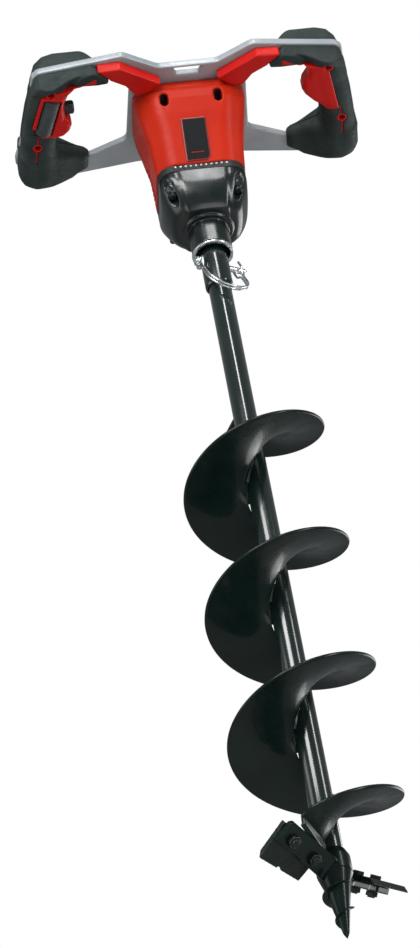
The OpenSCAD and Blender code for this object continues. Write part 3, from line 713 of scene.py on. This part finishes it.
def make_shafts():
    bore = TUBE_R + 0.05
    lathe("hub_collar", [(bore, 64.05), (16.3, 64.05), (16.3, 79.5), (13, 86.5), (bore, 86.5)],
          "drill_paint", "auger", "drill_hub", r=0.8)
    lathe("drill_tube", [(9.45, 64.1), (TUBE_R, 64.1), (TUBE_R, 765), (9.45, 765)], "drill_paint", "auger",
          "auger_tube", r=0.5, n=96, sharp=40, finish="drill_gloss")
    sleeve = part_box("drive_sleeve")[0].z / MM
    lathe("drill_sleeve", [(bore, sleeve), (12.9, sleeve), (14.4, sleeve + 2), (14.4, sleeve + 53),
                           (10.05, sleeve + 53), (10.05, sleeve + 13), (bore, sleeve + 12.2)],
          "drill_paint", "auger", "drive_sleeve", r=0.7, n=96, sharp=40, finish="drill_gloss")
    across = shift(0, 0, PIN_Z) @ turn(PIN_AZ, "Z") @ turn(90, "Y")
    lathe("pin_shaft", [(0, -23.0), (4.0, -23.0), (5.2, -21.8), (5.2, -15.5), (3.2, -15.5), (3.2, 33.9),
                        (2.2, 35.9), (0, 35.9)], "zinc", "pin", "lock_pin", place=across, r=0.35, sharp=40)
    lathe("pin_eyelets", [(0, -0.01), (2.0, 0), (2.0, 0.9), (0, 1.0)], "zinc", "pin", r=0.2, n=24,
          place=across @ shift(0, 0, -23.8))
    ring = [(17.8, Z_NECK - 1), (22.1, Z_NECK - 1), (22.1, Z_NECK + 1.9), (17.8, Z_NECK + 1.9)]
    lathe("neck_clip", ring, "zinc", "head", "neck_ring", r=1.1, n=96)


def make_bail():
    """Two sprung wires through the pin's head that bow round the drill and straddle the pin's far end."""
    head, gap, leg, w = 18.5, 6.4, 26.5, 22.75
    seat = shift(0, 0, PIN_Z) @ turn(PIN_AZ, "Z") @ turn(247, "X")
    paths = []
    for s in (-1, 1):
        pts = [(0, -0.4, s * (gap - 1.6)), (0, 0.1, s * (gap - 0.7)), (0, 0.9, s * gap)]
        pts += [(0, t, s * gap) for t in np.linspace(3, leg - 1, 8)]
        pts += [(w - w * cos(q), leg + w * sin(q), s * gap) for q in np.linspace(0, pi, 34)]
        pts += [(2 * w, t, s * gap) for t in np.linspace(leg - 2, -7, 12)]
        # the wires run close together over the bow and part again at both ends
        out = []
        for k, (px, py, pz) in enumerate(pts):
            squeeze = 1 - 0.76 * float(near(3, py, 13)) if k > 2 else 1.0
            out.append((px, py, pz * squeeze))
        paths.append(out)
    paths.append([(0, 0, t) for t in np.linspace(-gap + 1, gap - 1, 5)])
    v, f = tube(paths, 1.2)
    piece("bail_wires", np.array(v) + (-head, 0, 0), f, "zinc", "bail", "pin_bail", place=seat)


# ---------------------------------------------------------------- the head
def near(a, x, b):
    """0 below a, 1 above b, smooth between."""
    t = np.clip((x - a) / (b - a), 0, 1)
    return t * t * (3 - 2 * t)


def level(z, pairs):
    zs, vs = zip(*pairs)
    return np.interp(z, zs, vs)


def house_outer(x, y, z, grow=0.0):
    """Outer form of the red housing: a panelled front, rounded flanks and a rounded back."""
    hw = level(z, [(860, 48.0), (889, 47.0), (903, 48), (925, 49.5), (955, 56), (972, 59), (990, 60)]) + grow
    front = level(z, [(860, 44.0), (889, 45.0), (905, 50.2), (925, 57.2), (945, 64.2), (962, 69), (972, 70),
                      (980, 69), (990, 66)]) + grow
    back = level(z, [(889, 45.0), (960, 47.5), (990, 48)]) + grow
    corner = level(z, [(889, 22), (925, 36), (955, 46), (990, 47)])
    ax = abs(x)
    box_f = both(ax - hw, -y - front, 12)
    panel = (ax * 0.62 - y * 0.785) - (front * 0.785 + hw * 0.62 * 0.66)
    box_f = smax(box_f, panel * 0.98, 5)
    box_b = both(ax - hw, y - back, corner)
    return np.where(y < 0, box_f, box_b) * 0.97


def make_housing():
    bx, bz = 28.5, 962.0

    def shell(x, y, z):
        d = house_outer(x, y, z)
        d = smax(d, Z_HOUSE - z, 1.2)
        d = smax(d, z - (Z_PLATE - 0.25), 1.0)
        inner = house_outer(x, y, z, -3.2)
        inner = smax(inner, Z_HOUSE + 3.2 - z, 2)
        d = cut(d, inner, 0.6)
        # round mouth over the gearbox
        return cut(d, maximum(hypot(x, y) - 39, z - Z_HOUSE - 4))

    def front(x, y, z):
        d = shell(x, y, z)
        ax = abs(x)
        outer = house_outer(x, y, z)
        d = minimum(d, maximum.reduce([hypot(ax - bx, z - bz) - 8.2, y + 4, outer + 1]))
        # oblong screw wells with a run-out below
        well = both(hypot(ax - bx, maximum(abs(z - bz - 0.5) - 3.2, 0)) - 4.4, y + 33, 1.0)
        run = bar(ax, y, z, (bx, -72, bz - 3), (bx + 0.5, -66.5, bz - 17), 4.2, 1.6)
        d = cut(d, well, 1.4)
        d = cut(d, run, 1.6)
        # step above the shoulders, under the plate
        d = cut(d, maximum(abs(z - 976.5) - 0.5, -outer - 0.8))
        return smax(d, y + 0.15, 0.5)

    def rear(x, y, z):
        d = shell(x, y, z)
        ax = abs(x)
        # air slots, slanting across each flank, and a row across the back
        for k in range(7):
            slot = rect(y, z - (y - 16) * 0.35, 16, 899 + k * 6.2, 12, 1.4, 1.3)
            d = cut(d, maximum(slot, 36 - ax), 0.5)
        for k in range(6):
            slot = rect(x, z, 0, 902 + k * 7, 24, 1.4, 1.3)
            d = cut(d, maximum(slot, 38 - y), 0.5)
        return smax(d, 0.15 - y, 0.5)

    field_piece("housing_front_shell", front, (-63, -73, 886), (63, 2, 990), 1.1, "housing_red", "head",
                "motor_housing_front")
    field_piece("housing_rear_shell", rear, (-63, -2, 886), (63, 52, 990), 1.1, "housing_red", "head",
                "motor_housing_rear")


def case_outer(x, y, z):
    """Gear case: a rounded square that draws in below to the neck."""
    up = np.clip((z - 833) / 33, 0, 1)
    hw = 34 + 12 * (1 - (1 - up) ** 2)
    bowl = level(z, [(834, 36), (842, 42.5), (850, 47.5), (860, 53), (870, 60), (881, 70)])
    return smax(both(abs(x) - hw, abs(y) - (hw - 1.5), 18), hypot(x, y) - bowl, 9) * 0.9


def make_case():
    def body(x, y, z):
        ax, ay = abs(x), abs(y)
        d = smax(case_outer(x, y, z), Z_CASE - z, 6)
        d = smax(d, z - (Z_CASE + 45), 0.8)
        # crowned front and back that run down into an arch over the neck
        lift = 45 - 14 * np.clip((872 - z) / 39, 0, 1) ** 2.2 - 1.2 * (x / 24) ** 2
        panel = both(ax - 21 - 0.115 * (z - 833), ay - lift, 3)
        d = smin(d, maximum(panel, abs(z - 857.5) - 22.5), 3)
        # eye-shaped screw pockets at the four corners: a flat ledge with the screw, a facet below it
        pocket = both(hypot(ax - 41, ay - 43.5) - level(z, [(845, 9.5), (856, 10.5), (868, 8), (876, 2)]),
                      abs(z - 862) - 16, 1.0)
        facet = abs(ax - 38) * 0.9 - (z - 833) * 0.55 + (41 - ay) * 0.35 + 1.5
        pocket = minimum(pocket, maximum(facet, z - 844.6))
        d = cut(d, pocket, 0.8)
        screw = hypot(ax - CASE_SCREW, ay - CASE_SCREW)
        well = maximum(screw - 5.2, z - 858)
        d = cut(d, maximum(well, 836 - z), 0.6)
        boss = both(screw - 6.2, abs(z - 864) - 6.5, 1)
        boss = maximum(boss, case_outer(x, y, z) + 0.6)
        d = smin(d, boss, 0.8)
        # neck with three flats and a stepped shoulder
        r = hypot(x, y)
        flats = maximum.reduce([x * cos(a) - y * sin(a) for a in np.radians([20, 90, 160])])
        neck = smax(r - 21.5, flats - 20.4, 1.0)
        neck = both(neck, abs(z - (Z_NECK + 22)) - 20, 0.8)
        shoulder = both(r - 26.5, abs(z - Z_CASE) - 3.5, 1.2)
        d = smin(smin(d, shoulder, 1.5), neck, 0.8)
        # cavities for bearings, gears and screws
        hole = np.where(z < 830.4, 18.5, np.where(z < 839, 14, np.where(z < 846, 31.6, 36.05)))
        d = maximum(d, hole - r)
        return maximum(d, 2.5 - screw)

    field_piece("gear_case_cast", body, (-48, -46.5, 800), (48, 46.5, 882), 0.9, "case_black", "head",
                "gear_case")

    def collar(x, y, z):
        d = both(both(abs(x) - 46, abs(y) - 44.5, 17), abs(z - 884.45) - 4.4, 0.7)
        # a row of teeth along the front under the housing
        tooth = abs(((x + 2.7) % 5.4) - 2.7) - 1.2
        row = maximum.reduce([tooth, abs(x) - 31, 885.2 - z, -y - 47, y + 43.4])
        d = cut(d, row)
        d = maximum(d, 38 - hypot(x, y))
        return maximum(d, 2.5 - hypot(abs(x) - CASE_SCREW, abs(y) - CASE_SCREW))

    field_piece("collar_toothed", collar, (-48, -46.5, 878), (48, 46.5, 891), 0.7, "collar_black", "head",
                "collar_ring")


def make_case_fixings():
    """The light strip behind the collar's teeth, and the four screws up through the case."""

    def strip(x, y, z):
        return both(both(abs(x) - 31, abs(y + 43.1) - 0.6, 0.3), abs(z - 886.9) - 1.7, 0.3)

    field_piece("collar_vent_strip", strip, (-33, -45, 884), (33, -41, 890), 0.6, "plate_alu", "head")

    def screw(x, y, z):
        r = hypot(x, y)
        head = both(r - 3.9, abs(z - 855.4) - 1.9, 0.5)
        head = maximum(head, -both(hexagon(x, y, 1.7), z - 855.4, 0.2))
        return minimum(head, both(r - 2.4, abs(z - 877) - 21.5, 0.4))

    v, f = skin(screw, (-5, -5, 852), (5, 5, 900), 0.5)
    at = [(CASE_SCREW * a, CASE_SCREW * b) for b in (1, -1) for a in (1, -1)]
    piece("case_screws", np.concatenate([v + (a, b, 0) for a, b in at]),
          np.concatenate([f + k * len(v) for k in range(4)]), "dark_fastener", "head", "gear_case_screws")


def make_label():
    base = shift(-1.5, -44.9, Z_HOUSE + 1) @ turn(19.2, "X") @ shift(0, 0, 1) @ turn(90, "X")
    plan = [[-13, 0], [9, 0], [13.2, 5], [13.2, 49.5], [-13, 49.5]]
    inner = [[-11.9, 1.2], [8.5, 1.2], [12.1, 5.5], [12.1, 48.4], [-11.9, 48.4]]

    def plate(x, y, z):
        return slab(x, y, z, plan, 0.5, 0.5, 0.35)

    field_piece("label_blank", plate, (-14, -1, -0.5), (14.5, 50.5, 1.6), 0.4, "label_black", "head",
                "label_plate", place=base)

    def border(x, y, z):
        ring = abs(outline(x, y, inner)) - 0.32
        bars = rect(x, y, 0, 10, 7, 0.35, 0.3)
        return maximum(minimum(ring, bars), abs(z - 1.0) - 0.12)

    field_piece("label_lines", border, (-13, 0, 0.6), (13.4, 49.6, 1.5), 0.25, "core_red", "head", place=base)


PLATE = [(0, -89), (31, -89), (68, -111), (158, -98), (164, -92), (173.4, -30), (183.4, 14), (187, 27),
         (187, 33), (176, 50), (150, 60), (120, 58), (55, 49), (0, 49)]
GAP = [(62, -62), (67, -79), (80, -90), (104, -89), (128, -85), (148, -74), (156, -40), (158, 0), (153, 28),
       (140, 38), (111, 34), (66, 13)]


def make_plate():
    right = PLATE[1:-1]
    outer = right + [(-x, y) for x, y in reversed(right)]
    radii = [14, 14, 10, 6, 60, 30, 5, 5, 16, 18, 30, 40]
    outer = fillet(outer, radii + radii[::-1], 6)
    gap = fillet(GAP, 9, 5)
    slot = fillet([(-17, -86), (17, -86), (12, -76), (-12, -76)], 1.5, 3)
    cable = fillet([(-11, 8), (11, 8), (11, 22), (-11, 22)], 1.5, 3)
    holes = [gap, [(-x, y) for x, y in gap], slot, cable]
    slab_with_holes("carrier_plate", outer, holes, Z_PLATE, Z_TOP, 1.3, "plate_alu", "head", "frame_plate")


# ---- outlines of the right-hand grip in plan ----
ARM = [(30, -78), (72, -105), (99, -103.4), (99, -90), (84, -90), (67, -79), (57, -64), (44, -66)]
LOBE_OUT = [(98, -90), (98, -103), (146, -96), (157, -86), (166, -60), (171.5, -20), (174, 20), (161, 22),
            (152, -15)]
LOBE_IN = {"right": [(147, -24), (133, -35), (123, -46.5), (119.6, -54), (120.6, -63), (125.5, -73),
                     (127, -82), (121, -88)],
           "left": [(144, -18), (134, -22), (128, -28.5), (125.6, -36), (126.8, -43), (132, -47), (133, -68),
                    (128.5, -79.5), (121, -87.5)]}
RUBBER_IN = [(96, -120), (200, -120), (200, 70), (120, 70), (120, -20), (160, -25), (148.5, -77),
             (146, -86.5), (127, -88), (112, -89), (98, -97)]
COLUMN = [(145, -82), (150, -66), (155.5, -42), (160.5, -12), (163.5, 14), (165.3, 39)]
BLOCK = [(99, -104.8), (130, -100.6), (156.5, -96.6), (162, -91), (167, -66), (158, -50), (138, -70),
         (126, -84), (99, -90)]
THUMB = [(99, -105.2), (130, -101), (157, -97), (162.8, -91), (166, -79), (146, -89.5), (127, -94.5),
         (112, -101)]
SLEEVE = [(99, -105), (84.5, -91.5), (86, -87.2), (97, -86.2), (118, -87), (124, -92), (112, -101)]
CAP = [(88.5, -84), (89.5, -90.5), (97, -96.5), (112, -99.5), (140, -99.5), (152, -95.5), (160.5, -86),
       (165.5, -66), (155, -50), (134, -68), (108, -80)]
WRAP = [(107.5, 26), (109, 47), (126, 57), (150, 59.5), (168, 59.5), (180, 51), (184.3, 38), (182, 10),
        (150, 3), (145, 8.5), (112, 21.5)]
FRONT = [(60, -109.5), (157.5, -95.6), (162, -91.4), (164, -84), (171, -73), (200, -60), (200, 60), (60, 60)]


def grip_form(x, y, z):
    """The whole right-hand grip: front block, column and the wrap round the rear bar."""
    mid = Z_PLATE
    column = both(chain(x[:, :, :1], y[:, :, :1], COLUMN) - 18, abs(z - mid) - 22, 14)
    low = slab(x, y, z, BLOCK, mid - 4, 9, 2.8)
    bump_z = mid - 13 - 12.5 * np.exp(-((x - 146) / 17.0) ** 2)
    bump = both(outline(x, y, THUMB), maximum(bump_z - z, z - mid), 3.0)
    bump = minimum(bump, slab(x, y, z, SLEEVE, mid - 9.6, 5.6, 2.2))
    cap = both(outline(x, y, CAP), maximum(mid - z, z - mid - 31), 8)
    hh = 7.5 + 13.5 * near(108, x, 158)
    wrap = slab(x, y, z, WRAP, mid + 1, hh, minimum(9, hh - 0.5)) * 0.93
    d = smin(column, low, 5)
    d = smin(d, cap, 7)
    d = smin(d, wrap, 6)
    d = smin(d, bump, 1.2)
    # never stands out past the plate's front edge
    d = np.where(y < -40, smax(d, outline(x, y, FRONT), 1.5), d)
    slope = (88.5 - x) * 0.72 + (z - mid - 9) * 0.69
    return np.where(z > mid, smax(d, slope, 4), d)


def lobe_form(x, y, z, side):
    plan = outline(x, y, LOBE_OUT + LOBE_IN[side])
    d = both(plan, abs(z - (Z_PLATE - 11)) - 11, 7)
    d = smax(d, Z_PLATE - 13.2 - 9 * near(108, x, 124) - z, 2)
    under = maximum(plan - 0.2, maximum(grip_form(x, y, z) - 0.35, z - Z_PLATE + 1))
    return smin(d, under, 2.5)


SPINE = [(161.5, -26), (163.7, -9), (165.6, 13)]       # seam line down the underside of a grip
EYES = [(146.5, -85.5), SPINE[1]]                      # screw eyes in the grip
TRIGGER_AT = (-156, -33, 974)                          # its pivot
TRIGGER_AZ = 14.5


def trigger_well(x, y, z, side_gap):
    """Room round the trigger's paddle, in the mirrored (right-hand) frame."""
    ca, sa = cos(radians(TRIGGER_AZ)), sin(radians(TRIGGER_AZ))
    dx, dy = -x - TRIGGER_AT[0], y - TRIGGER_AT[1]
    lx, ly = dx * ca + dy * sa, -dx * sa + dy * ca
    return both(rect(lx, ly, 0, -20, 9.2 + side_gap, 25.5 + side_gap, 3), abs(z - 970) - 16, 1)


def make_handles():
    lo, hi = (80, -112, 955), (192, 66, 1024)

    for side in ("right", "left"):
        left = side == "left"

        def rubber(x, y, z, up):
            h = z - Z_PLATE
            d = grip_form(x, y, z)
            lobe = maximum(outline(x, y, LOBE_OUT + LOBE_IN[side]) - 0.45, h + 0.6)
            lobe = maximum(lobe, 112 - x)
            d = cut(d, maximum(lobe, -outline(x, y, RUBBER_IN)))
            # a fine groove down the underside, with two screw eyes
            groove = maximum(chain(x[:, :, :1], y[:, :, :1], SPINE) - 0.9, h + 6)
            d = cut(d, groove)
            for hx, hy in EYES:
                d = cut(d, maximum(hypot(x - hx, y - hy) - 5.6, h + 7))
            # room for the trigger, wider round its front end
            if left and not up:
                d = cut(d, maximum(trigger_well(x, y, z, 3.8), y + 38))
                d = cut(d, trigger_well(x, y, z, 0.9))
            return smax(d, (Z_PLATE + 4.15 - z) if up else (h - 3.85), 0.5)

        def red(x, y, z):
            h, grip = z - Z_PLATE, grip_form(x, y, z)
            d = lobe_form(x, y, z, side)
            # red shows from the hand gap out to the rubber's edge
            inside = maximum(grip + 2.2, outline(x, y, LOBE_OUT + LOBE_IN[side]) - 1)
            d = minimum(cut(d, outline(x, y, RUBBER_IN)), maximum(inside, h + 0.3))
            # spine and rims that show in the rubber's groove and eyes
            spine = maximum(chain(x[:, :, :1], y[:, :, :1], SPINE) - 0.8, grip + 0.7)
            spine = maximum(spine, h + 5)
            d = minimum(d, spine)
            for hx, hy in EYES:
                r = hypot(x - hx, y - hy)
                d = minimum(d, maximum.reduce([r - 5.4, grip + 0.2, h + 3]))
                d = cut(d, both(r - 3.6, h + 12.5, 0.8))
            arm = slab(x, y, z, ARM, Z_PLATE - 6.6, 6.5, 1.4)
            socket = outline(x, y, [(99, -106), (83.5, -91), (83.5, -80), (130, -80), (130, -106)])
            arm = maximum(arm, -socket)
            d = minimum(d, maximum(arm, x - 98.4))
            if left:
                well = trigger_well(x, y, z, 0.5)
                bezel = maximum.reduce([trigger_well(x, y, z, 3.6), -well, y + 38, grip - 1.8, h + 2])
                d = minimum(cut(d, well), bezel)
                bore = 7.6 - hypot(y + 53, z - 980)
                d = maximum(d, np.where((x > 118) & (x < 139), bore, -99))
            return smax(d, h + 0.1, 0.3)

        for up in (False, True):
            word = "upper" if up else "lower"
            name = "grip_%s_%s" % (side, word)
            field_piece(name + "_skin", lambda x, y, z, up=up: rubber(x, y, z, up), lo, hi, 1.0,
                        "grip_rubber", "head", name, mirror=left)
        field_piece("core_%s_shell" % side, red, (28, -108, 955), (182, 38, 990), 1.0, "core_red", "head",
                    "handle_core_" + side, mirror=left)


def make_trigger():
    def paddle(x, y, z):
        # a half-round bar with a flat front end
        d = both(both(abs(x) - 8.9, abs(y + 20.5) - 24.4, 2), abs(z + 6.6) - 5.9, 0.8)
        d = smax(d, hypot(x, (z + 2.4) * 0.94) - 9.3, 1.0)
        ear = both(hypot(y, z) - 5, abs(x) - 9, 0.6)
        return maximum(smin(d, ear, 1.5), 2.05 - hypot(y, z))

    field_piece("trigger_paddle", paddle, (-11, -47, -14), (11, 7, 6), 0.55, "trigger_grey", "trigger",
                "trigger", place=shift(*TRIGGER_AT) @ turn(TRIGGER_AZ, "Z"))


def make_button():
    def knob(x, y, z):
        r = hypot(x, y)
        a = np.arctan2(y, x)
        ribs = 0.25 * np.cos(10 * a) * (z < -0.5)
        return both(r - 7.0 - ribs, abs(z + 1) - 5.9, 2.6)

    field_piece("lock_knob", knob, (-8.5, -8.5, -8), (8.5, 8.5, 6), 0.45, "dock_black", "lock_button",
                "lock_button", place=shift(-129, -53, 980) @ turn(-90, "Y"))


def make_dock():
    z0 = Z_TOP + 0.05

    def dock(x, y, z):
        h = z - z0
        ax = abs(x)

        def box(cy, hx, hy, corner, mid, half, edge):
            return both(rect(x, y, 0, cy, hx, hy, corner), abs(h - mid) - half, edge)

        foot = box(-3, 38, 49, 4, 1.5, 1.5, 0.8)
        block = box(-3, 26, 45, 3, 7, 6.95, 0.9)
        rail = box(-3, 32, 45, 2, 11.45, 2.45, 0.8)
        stop = box(42, 38, 4, 1.5, 7, 6.95, 0.9)
        d = smin(smin(foot, block, 1), smin(rail, stop, 1), 0.8)
        d = cut(d, both(rect(x, y, 0, 9, 18, 15, 1.5), 6 - h, 0.5), 0.4)         # well for the terminals
        d = cut(d, both(rect(x, y, 0, -34, 9, 4, 1), 9 - h, 0.5), 0.4)           # catch for the latch
        ribs = maximum(abs(((y + 60) % 7) - 3.5) - 0.9, maximum(29.0 - ax, 13.2 - h))
        d = cut(d, ribs)
        for sx, sy in ((20, -24), (20, 34)):
            d = cut(d, maximum(hypot(ax - sx, y - sy) - 2.6, 11.5 - h))
        return d

    field_piece("dock_rails", dock, (-40, -54, z0 - 1), (40, 48, z0 + 15), 0.9, "dock_black", "head",
                "battery_dock")


def finish_cad():
    """CAD nodes that still show get their slot's finish and softened edges."""
    slots = {p["node"]: p["material_slot"] for p in frame["record"]["subparts"]}
    for name, ob in NODES.items():
        slot = slots[name]
        mats = ob.data.materials
        if len(mats) == 0:
            mats.append(FIN[slot])
        for k in range(len(mats)):
            mats[k] = FIN[slot]
        if not ob.hide_render:
            b = ob.modifiers.new("edge", "BEVEL")
            b.width = 0.00025
            b.segments = 2
            b.limit_method = "ANGLE"
            b.angle_limit = radians(50)


# ---------------------------------------------------------------- stage
def seen_as(nt, true, shown):
    """A shader that lights things as the first, and shows itself to the camera as the second."""
    mix = nt.nodes.new("ShaderNodeMixShader")
    ray = nt.nodes.new("ShaderNodeLightPath").outputs["Is Camera Ray"]
    for k, source in enumerate((ray, true, shown)):
        nt.links.new(source, mix.inputs[k])
    return mix.outputs[0]


def make_stage():
    me = bpy.data.meshes.new("floor")
    half = 30.0
    me.from_pydata([(a * half, b * half, FLOOR_Z) for a, b in ((-1, -1), (1, -1), (1, 1), (-1, 1))], [],
                   [[0, 1, 2, 3]])
    floor = add_object("floor", me)
    f = Finish("floor_pale", colour(226, 226, 225), 0.85)
    f.paint(f.noise(3, 2), colour(224, 224, 223), colour(229, 229, 228))
    me.materials.append(f.mat)
    # the floor reads as plain pale paper, and adds no light of its own to the object
    nt = f.mat.node_tree
    surface = next(n for n in nt.nodes if n.type == "OUTPUT_MATERIAL").inputs["Surface"]
    pale = nt.nodes.new("ShaderNodeEmission")
    pale.inputs["Color"].default_value = (0.86, 0.86, 0.855, 1)
    nt.links.new(seen_as(nt, surface.links[0].from_socket, pale.outputs[0]), surface)

    world = bpy.data.worlds.new("studio")
    scene.world = world
    world.use_nodes = True
    nt = world.node_tree
    nt.nodes.clear()
    out = nt.nodes.new("ShaderNodeOutputWorld")
    soft, white = (nt.nodes.new("ShaderNodeBackground") for _ in range(2))
    soft.inputs["Color"].default_value = (0.93, 0.97, 1.0, 1)
    soft.inputs["Strength"].default_value = 0.24
    white.inputs["Color"].default_value = (1, 1, 1, 1)
    white.inputs["Strength"].default_value = 1.0
    nt.links.new(seen_as(nt, soft.outputs[0], white.outputs[0]), out.inputs[0])
    scene.view_settings.view_transform = "Standard"

    def lamp(name, place, target, size, power, size_y=None):
        li = bpy.data.lights.new(name, "AREA")
        li.shape = "RECTANGLE"
        li.size, li.size_y = size, size_y or size
        li.energy = power
        ob = add_object(name, li)
        ob.location = place
        ob.rotation_mode = "QUATERNION"
        ob.rotation_quaternion = (Vector(target) - Vector(place)).to_track_quat("-Z", "Y")

    # watts; places in metres
    lamp("key", (-0.9, -2.4, 1.7), (0, 0, 0.8), 1.3, 60)
    lamp("front", (0.22, -1.75, 2.5), (0, 0, 0.86), 0.34, 13, size_y=0.9)
    lamp("low", (0.5, -2.2, -1.1), (0, 0, 0.6), 1.1, 8)
    lamp("strip", (1.7, -1.3, 0.6), (0, 0, 0.4), 0.35, 20, size_y=1.9)
    lamp("back", (1.9, 1.7, 0.5), (0, 0, 0.6), 1.6, 30)
    lamp("left", (-2.0, -0.4, 0.5), (0, 0, 0.5), 1.0, 10, size_y=1.8)

    cam = bpy.data.cameras.new("camera")
    cam.lens = 108.4
    cam.sensor_width = 36
    cam.clip_end = 60
    ob = add_object("camera", cam)
    ob.matrix_world = (shift(-0.29627, -2.20899, -1.14676) @ turn(-6.5, "Z")
                       @ turn(90 + 36.83, "X") @ turn(-10.43, "Z"))
    scene.camera = ob


for make in (make_stage, make_flight, make_welds, make_cutters, make_web, make_bolts, make_point, make_shafts,
             make_bail, make_housing, make_case, make_case_fixings, make_label, make_plate, make_handles,
             make_trigger, make_button, make_dock, finish_cad):
    make()
